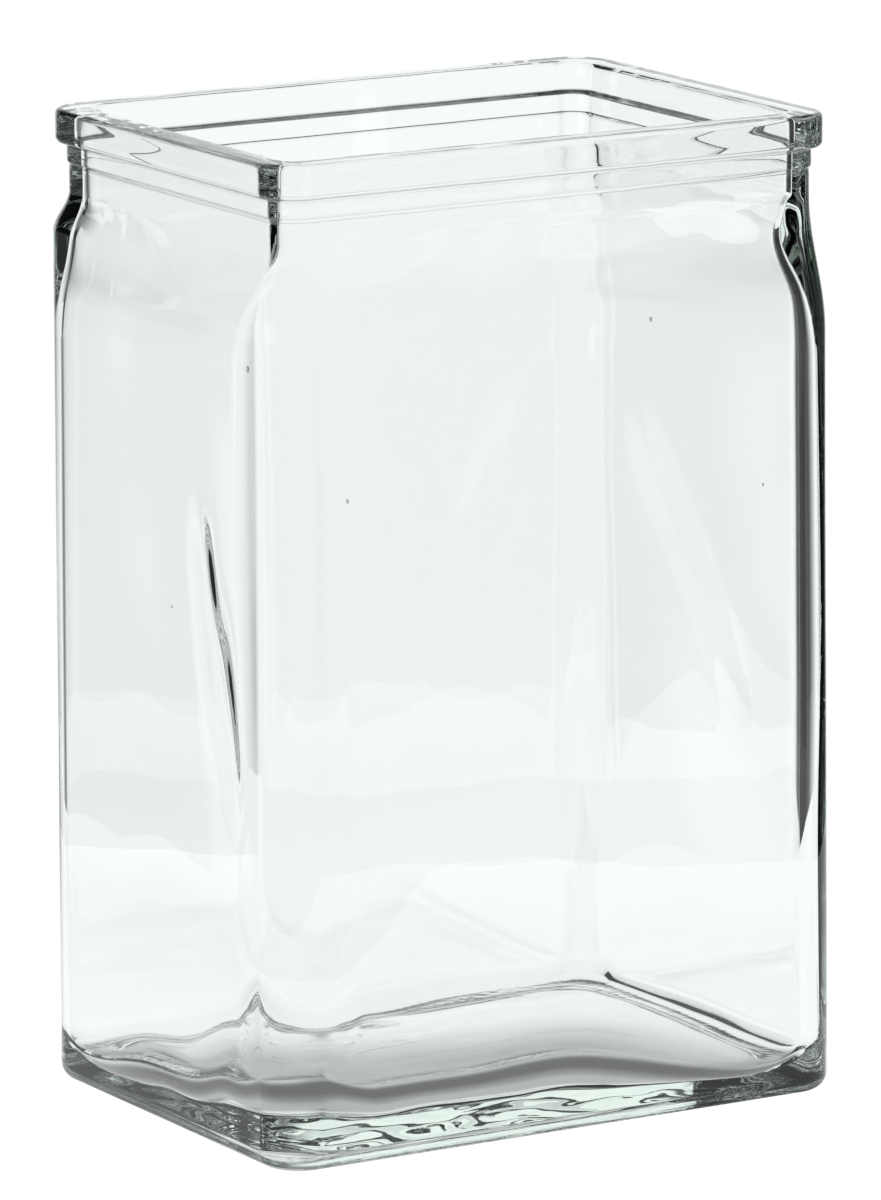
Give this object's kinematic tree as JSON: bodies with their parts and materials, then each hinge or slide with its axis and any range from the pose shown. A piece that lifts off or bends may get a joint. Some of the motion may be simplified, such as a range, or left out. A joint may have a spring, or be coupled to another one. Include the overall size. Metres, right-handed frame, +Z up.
{
  "type": "specimen jar",
  "caption": "Tall rectangular clear-glass specimen jar, open at the top, with a flanged rim, short neck, S-curved shoulders and a thick footed base, for holding and showing a specimen.",
  "frame": {"origin": "centre of the foot ring, on the surface the jar stands on", "axes": "+Z up out of the mouth, +X along the wide walls, -Y out of the wide wall at the front"},
  "size_m": [0.1572, 0.1172, 0.24],
  "materials": {
    "clear_glass": "clear, fire-polished, very faintly green"
  },
  "bodies": {
    "root": {"glass_jar": "clear_glass"}
  },
  "joints": []
}
